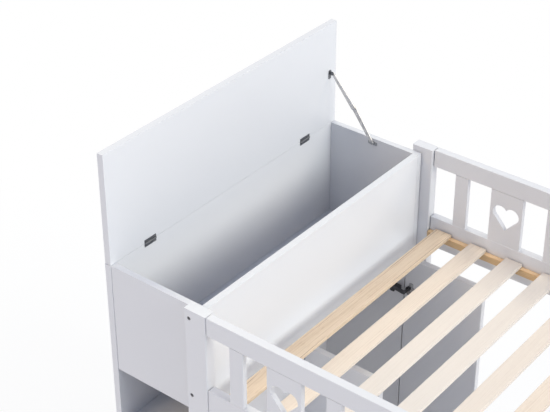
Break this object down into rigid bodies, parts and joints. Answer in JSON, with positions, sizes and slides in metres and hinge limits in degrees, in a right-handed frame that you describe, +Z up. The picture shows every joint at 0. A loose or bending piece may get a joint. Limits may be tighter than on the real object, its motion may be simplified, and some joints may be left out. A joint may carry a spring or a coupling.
{
  "type": "loft bed with storage",
  "caption": "Loft bed with a lidded chest over open cubbies and a two-door wardrobe at its head, guard rails with heart cut-outs and a fixed ladder.",
  "frame": {"origin": "bottom centre of the bounding box, on the floor, with the lid and doors open", "axes": "+X from the head end with the chest to the foot end, +Y from the near side with the ladder to the far side, +Z up"},
  "size_m": [2.35, 0.95, 1.447],
  "materials": {
    "white_paint": "satin white paint",
    "pine": "planed, unpainted",
    "ledger_wood": "planed, unpainted",
    "dark_metal": "dark grey, satin",
    "bright_metal": "satin"
  },
  "bodies": {
    "bed_frame": {"end_panel": "white_paint", "near_cover_panel": "white_paint", "far_side_panel": "white_paint", "chest_front_wall": "white_paint", "chest_floor": "white_paint", "tower_base": "white_paint", "wardrobe_partition": "white_paint", "cubby_side_panel": "white_paint", "near_toe_kick": "white_paint", "wardrobe_toe_kick": "white_paint", "cubby_shelf_1": "white_paint", "cubby_shelf_2": "white_paint", "cubby_shelf_3": "white_paint", "clothes_rail": "bright_metal", "near_clothes_rail_socket": "bright_metal", "far_clothes_rail_socket": "bright_metal", "near_head_post": "white_paint", "near_foot_post": "white_paint", "far_head_post": "white_paint", "far_foot_post": "white_paint", "near_chest_bolt_1": "dark_metal", "near_chest_bolt_2": "dark_metal", "far_chest_bolt_1": "dark_metal", "far_chest_bolt_2": "dark_metal", "entry_post": "white_paint", "ladder_upright": "white_paint", "ladder_rung_1": "white_paint", "ladder_rung_2": "white_paint", "ladder_rung_3": "white_paint", "near_guard_rail": "white_paint", "far_guard_rail": "white_paint", "foot_guard_rail": "white_paint", "near_ledger": "ledger_wood", "far_ledger": "ledger_wood", "slat_base": "pine", "near_lid_hinge_lower_leaf": "dark_metal", "near_lid_hinge_pin": "dark_metal", "far_lid_hinge_lower_leaf": "dark_metal", "far_lid_hinge_pin": "dark_metal", "stay_panel_bracket": "dark_metal", "near_door_hinge_arm_1": "dark_metal", "near_door_hinge_arm_2": "dark_metal", "far_door_hinge_arm_1": "dark_metal", "far_door_hinge_arm_2": "dark_metal"},
    "lid": {"chest_lid": "white_paint", "near_lid_hinge_upper_leaf": "dark_metal", "far_lid_hinge_upper_leaf": "dark_metal", "stay_lid_bracket": "dark_metal"},
    "stay_upper": {"stay_upper_arm": "bright_metal"},
    "stay_lower": {"stay_lower_arm": "bright_metal"},
    "near_door_body": {"near_door": "white_paint", "near_door_hinge_cup_1": "dark_metal", "near_door_hinge_cup_2": "dark_metal", "near_door_knob": "bright_metal"},
    "far_door_body": {"far_door": "white_paint", "far_door_hinge_cup_1": "dark_metal", "far_door_hinge_cup_2": "dark_metal", "far_door_knob": "bright_metal"}
  },
  "joints": [
    {"name": "lid_hinge", "type": "hinge", "parent": "bed_frame", "child": "lid", "pos_m": [-1.155, 0, 1.143], "axis": [0, 1, 0], "range_deg": [0, 90]},
    {"name": "stay_lower_pivot", "type": "hinge", "parent": "bed_frame", "child": "stay_lower", "pos_m": [-1.014, 0.4207, 1.1315], "axis": [0, 1, 0], "range_deg": [0, 197]},
    {"name": "stay_upper_pivot", "type": "hinge", "parent": "lid", "child": "stay_upper", "pos_m": [-1.1485, 0.4181, 1.302], "axis": [0, 1, 0], "range_deg": [-61, 0]},
    {"name": "near_door_hinge", "type": "hinge", "parent": "bed_frame", "child": "near_door_body", "pos_m": [-0.878, -0.052, 0.4345], "axis": [0, 0, 1], "range_deg": [-5, 90]},
    {"name": "far_door_hinge", "type": "hinge", "parent": "bed_frame", "child": "far_door_body", "pos_m": [-0.878, 0.433, 0.4345], "axis": [0, 0, 1], "range_deg": [-90, 3]}
  ],
  "couplings": [
    {"joint": "stay_lower_pivot", "follows": "lid_hinge", "ratio": 2.1727},
    {"joint": "stay_upper_pivot", "follows": "lid_hinge", "ratio": -0.6673}
  ]
}
